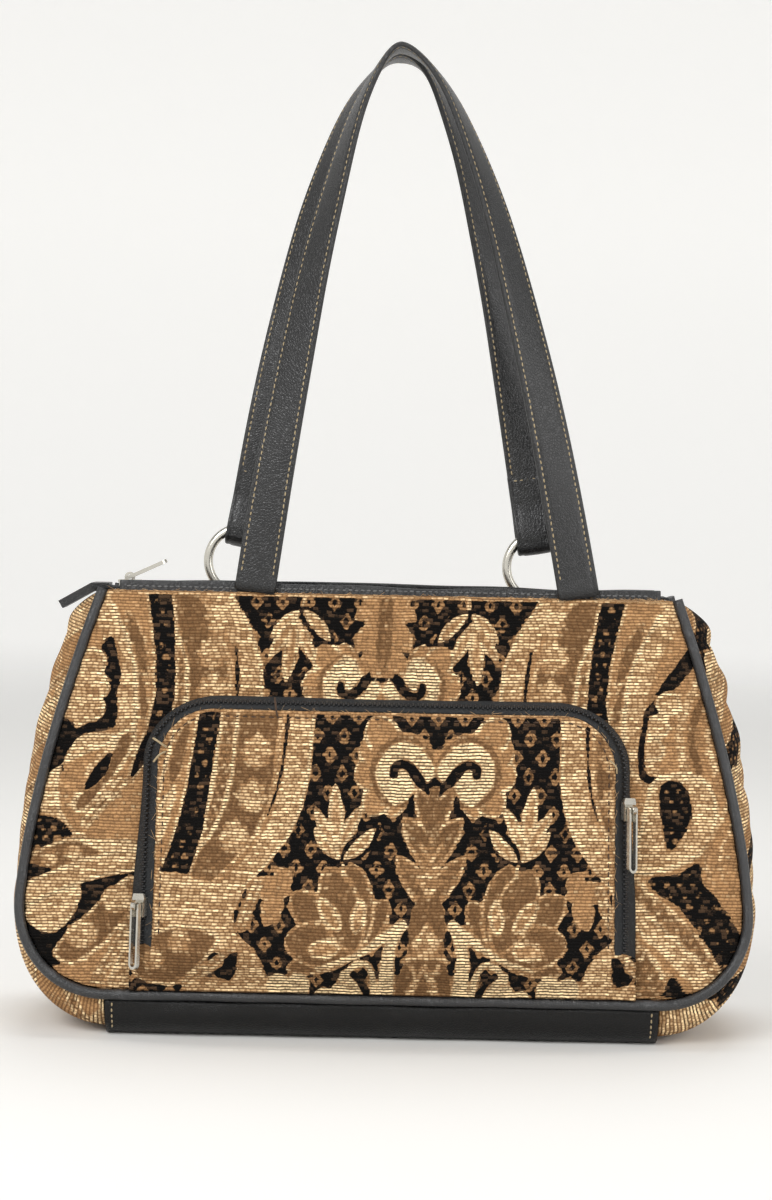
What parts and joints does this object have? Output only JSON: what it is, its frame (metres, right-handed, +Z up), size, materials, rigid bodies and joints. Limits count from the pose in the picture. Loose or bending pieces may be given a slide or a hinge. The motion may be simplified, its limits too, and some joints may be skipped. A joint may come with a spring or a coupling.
{
  "type": "tapestry shoulder bag",
  "caption": "Shoulder handbag of woven tapestry with black leather piping, base and straps, a zipped mouth and a zipped front pocket.",
  "frame": {"origin": "on the table under the middle of the leather base", "axes": "+Z up, -Y the front with the pocket, +X to the right seen from the front"},
  "size_m": [0.3624, 0.1167, 0.478],
  "materials": {
    "tapestry": "matt woven",
    "leather": "semi-gloss",
    "zip_tape": "matt",
    "nickel": "polished",
    "lining": "matt",
    "board": "matt"
  },
  "bodies": {
    "bag": {"front_panel": "tapestry", "back_panel": "tapestry", "left_gusset": "tapestry", "right_gusset": "tapestry", "base_panel": "leather", "base_board": "board", "lining": "lining", "front_piping": "leather", "back_piping": "leather", "front_facing": "leather", "back_facing": "leather", "main_zip_front_tape": "zip_tape", "main_zip_back_tape": "zip_tape", "main_zip_coil": "zip_tape", "zip_end_tab": "leather", "front_pocket": "tapestry", "pocket_zip_tape": "zip_tape", "pocket_zip_coil": "zip_tape", "front_strap": "leather", "ring_tab_left": "leather", "ring_tab_right": "leather"},
    "main_slider": {"main_zip_slider": "nickel"},
    "main_pull": {"main_zip_pull": "nickel"},
    "left_slider": {"pocket_slider_left": "nickel"},
    "left_pull": {"pocket_pull_left": "nickel"},
    "right_slider": {"pocket_slider_right": "nickel"},
    "right_pull": {"pocket_pull_right": "nickel"},
    "rear_carry": {"rear_strap": "leather", "ring_left": "nickel", "ring_right": "nickel"}
  },
  "joints": [
    {"name": "main_zip_slide", "type": "slide", "parent": "bag", "child": "main_slider", "axis": [1, 0, 0], "range_m": [0, 0.25]},
    {"name": "main_pull_turn", "type": "hinge", "parent": "main_slider", "child": "main_pull", "pos_m": [-0.1285, 0, 0.2178], "axis": [0, -1, 0], "range_deg": [-25, 130]},
    {"name": "left_zip_slide", "type": "slide", "parent": "bag", "child": "left_slider", "axis": [0, 0.1703, 0.9854], "range_m": [-0.008, 0.062]},
    {"name": "left_pull_turn", "type": "hinge", "parent": "left_slider", "child": "left_pull", "pos_m": [-0.11708, -0.05188, 0.06458], "axis": [-0.7516, 0.65, -0.1123], "range_deg": [0, 150]},
    {"name": "right_zip_slide", "type": "slide", "parent": "bag", "child": "right_slider", "axis": [0, 0.1703, 0.9854], "range_m": [-0.057, 0.013]},
    {"name": "right_pull_turn", "type": "hinge", "parent": "right_slider", "child": "right_pull", "pos_m": [0.11708, -0.04342, 0.11358], "axis": [-0.7516, -0.65, 0.1123], "range_deg": [0, 150]},
    {"name": "rear_strap_swing", "type": "hinge", "parent": "bag", "child": "rear_carry", "pos_m": [0, 0.02058, 0.21], "axis": [-1, 0, 0], "range_deg": [0, 120]}
  ]
}
